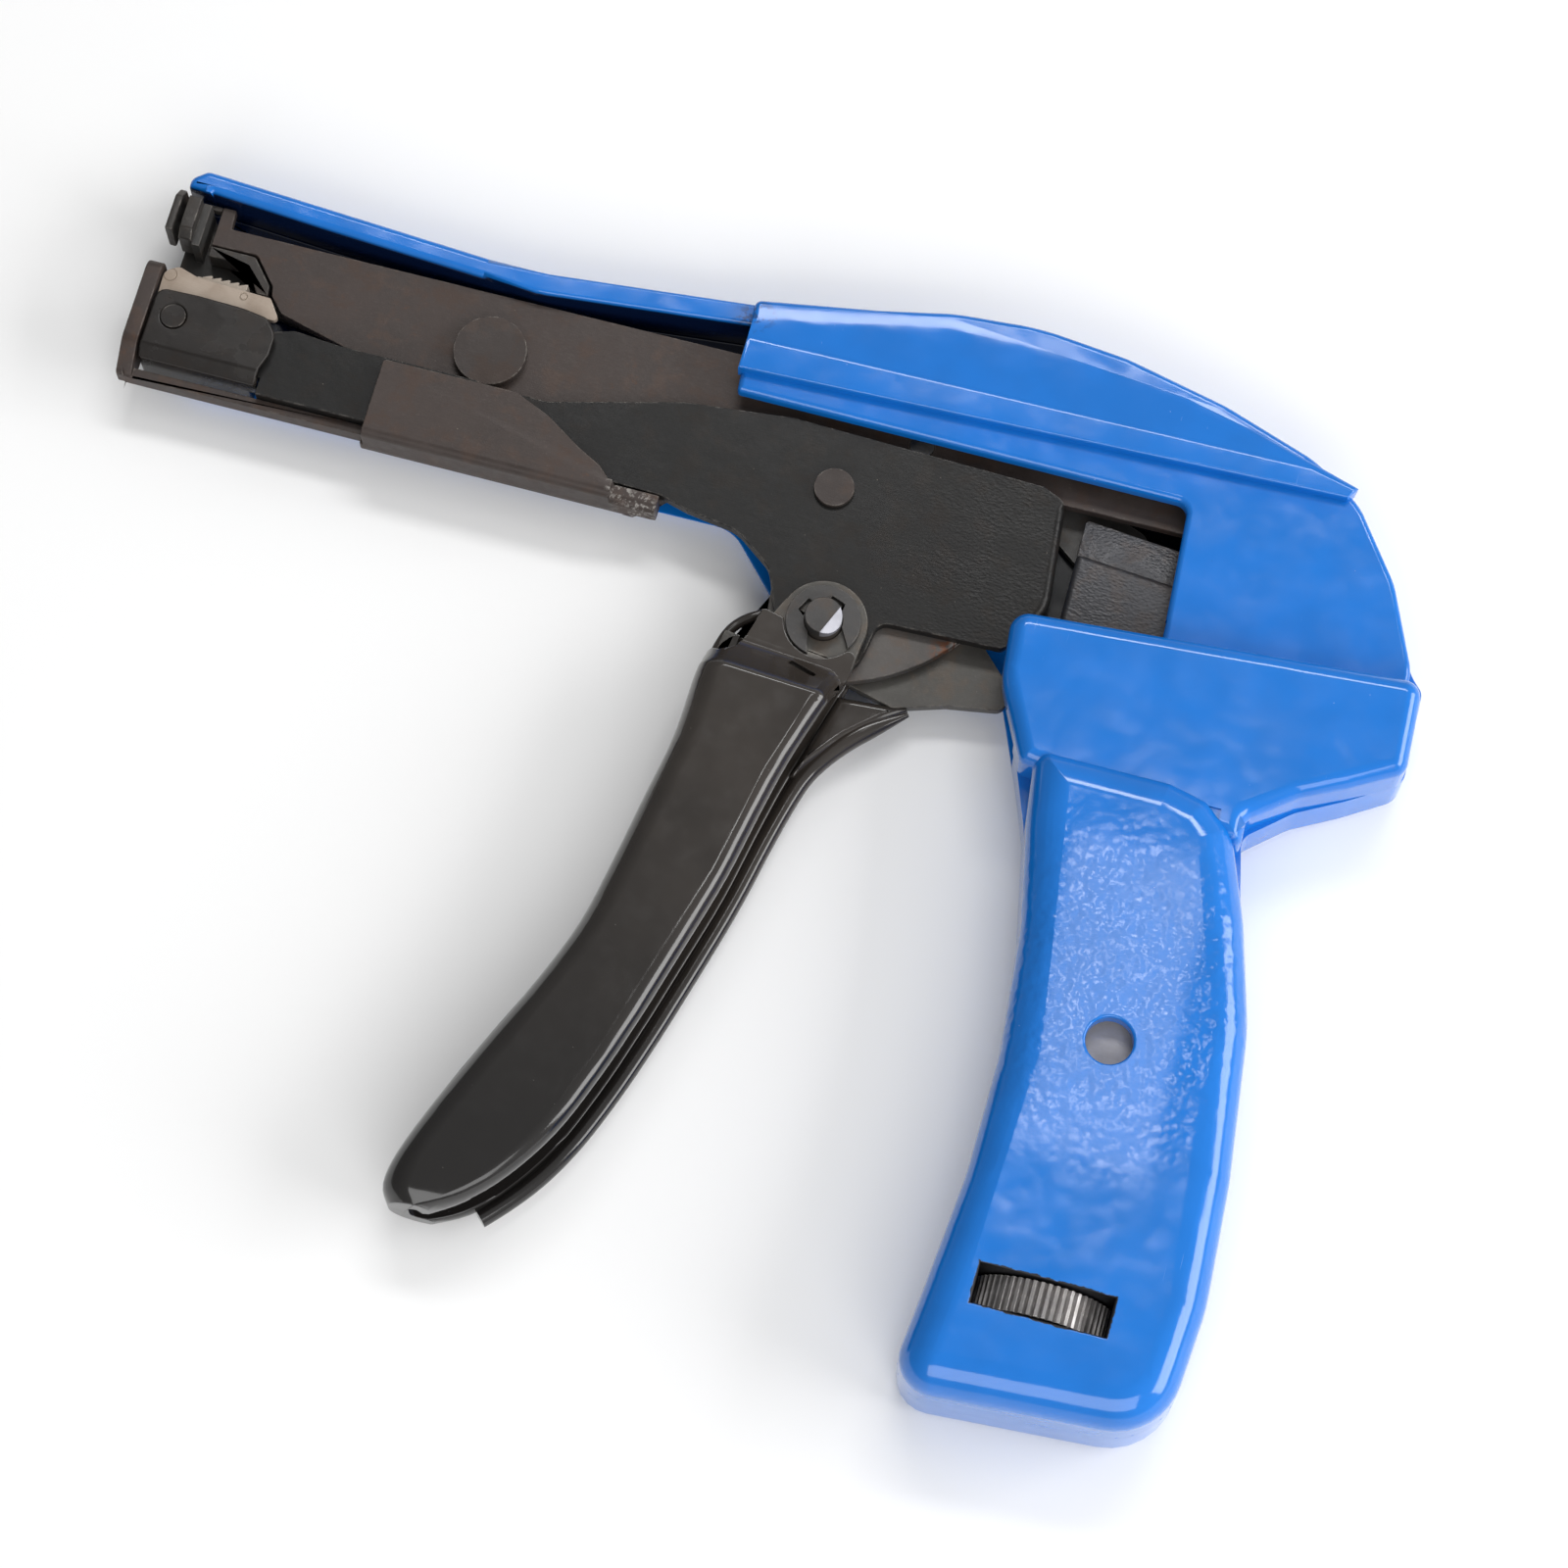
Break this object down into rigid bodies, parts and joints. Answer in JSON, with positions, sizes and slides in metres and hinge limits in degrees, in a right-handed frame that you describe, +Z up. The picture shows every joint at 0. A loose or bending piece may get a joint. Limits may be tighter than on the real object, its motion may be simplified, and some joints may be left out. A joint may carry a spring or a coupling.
{
  "type": "cable tie tensioning tool",
  "caption": "Pistol-shaped hand tool with a long barrel, squeeze trigger and wheel in the grip, which pulls a cable tie tight and cuts its tail",
  "frame": {"origin": "Middle of the tool's footprint as it lies on its far side, on the surface it lies on", "axes": "X from the nose to the heel of the body, Y from the grip's end towards the crown of the body, Z up through the thickness towards the side seen in the picture"},
  "size_m": [0.1655, 0.1328, 0.017],
  "materials": {
    "blue_enamel": "glossy enamel with a fine orange peel",
    "screw_steel": "machined",
    "frame_steel": "brown-black oxide, worn",
    "cutter_steel": "hardened, ground",
    "pin_steel": "turned",
    "spring_steel": "drawn wire",
    "rod_black": "black oxide with a fine grain",
    "pawl_steel": "bright plated",
    "lever_steel": "bare, oiled",
    "black_vinyl": "glossy dipped vinyl",
    "nut_zinc": "plain",
    "bush_brass": "turned",
    "wheel_black": "blackened, knurled"
  },
  "bodies": {
    "body": {"right_housing": "blue_enamel", "left_housing": "blue_enamel", "housing_screws": "screw_steel", "frame_screws": "screw_steel", "barrel_frame": "frame_steel", "nose_block": "frame_steel", "anvil_plate": "frame_steel", "cutter_pivot": "frame_steel", "fulcrum_pin": "pin_steel", "spring_post": "pin_steel", "return_spring": "spring_steel", "tension_spring": "spring_steel", "screw_bushes": "bush_brass"},
    "rod": {"pull_rod": "rod_black", "carriage": "rod_black", "pawl_pin": "rod_black", "pawl_spring": "spring_steel", "rod_lug_plate": "frame_steel", "rod_rivet": "rod_black"},
    "trigger": {"trigger_lever": "lever_steel", "trigger_grip": "black_vinyl", "trigger_pin": "pin_steel", "trigger_clip": "lever_steel"},
    "pawl": {"gripper_pawl": "pawl_steel", "pawl_teeth": "pawl_steel"},
    "cutter": {"cutter_arm": "cutter_steel", "cutter_blade": "cutter_steel"},
    "link": {"tension_link": "lever_steel", "link_pin": "pin_steel"},
    "wheel": {"tension_wheel": "wheel_black", "tension_screw": "pin_steel"},
    "nut": {"tension_nut": "nut_zinc"}
  },
  "joints": [
    {"name": "rod_pull", "type": "slide", "parent": "body", "child": "rod", "axis": [1, 0, 0], "range_m": [0, 0.0115]},
    {"name": "trigger_squeeze", "type": "hinge", "parent": "rod", "child": "trigger", "pos_m": [0.01036, 0.02238, 0.0085], "axis": [0, 0, 1], "range_deg": [0, 24.4], "stiffness_Nm_per_rad": 0.35, "deforming": ["return_spring"]},
    {"name": "pawl_bite", "type": "hinge", "parent": "rod", "child": "pawl", "pos_m": [-0.0775, 0.04009, 0.0085], "axis": [0, 0, 1], "range_deg": [0, 24.6], "deforming": ["pawl_spring"]},
    {"name": "cutter_cut", "type": "hinge", "parent": "body", "child": "cutter", "pos_m": [-0.03892, 0.04694, 0.0085], "axis": [0, 0, 1], "range_deg": [0, 3.5], "stiffness_Nm_per_rad": 0.5},
    {"name": "link_lift", "type": "slide", "parent": "body", "child": "link", "axis": [0, 1, 0], "range_m": [0, 0.00495], "deforming": ["tension_spring"]},
    {"name": "tension_dial", "type": "hinge", "parent": "body", "child": "wheel", "pos_m": [0.05629, -0.05295, 0.0085], "axis": [0, 1, 0], "range_deg": [-1440, 1440]},
    {"name": "nut_travel", "type": "slide", "parent": "body", "child": "nut", "axis": [0, 1, 0], "range_m": [-0.0041, 0.0041]}
  ],
  "couplings": [
    {"joint": "rod_pull", "follows": "trigger_squeeze", "m_per_rad": 0.027004},
    {"joint": "pawl_bite", "follows": "trigger_squeeze", "ratio": 1},
    {"joint": "link_lift", "follows": "cutter_cut", "m_per_rad": 0.080679},
    {"joint": "nut_travel", "follows": "tension_dial", "m_per_rad": 0.00015915}
  ]
}
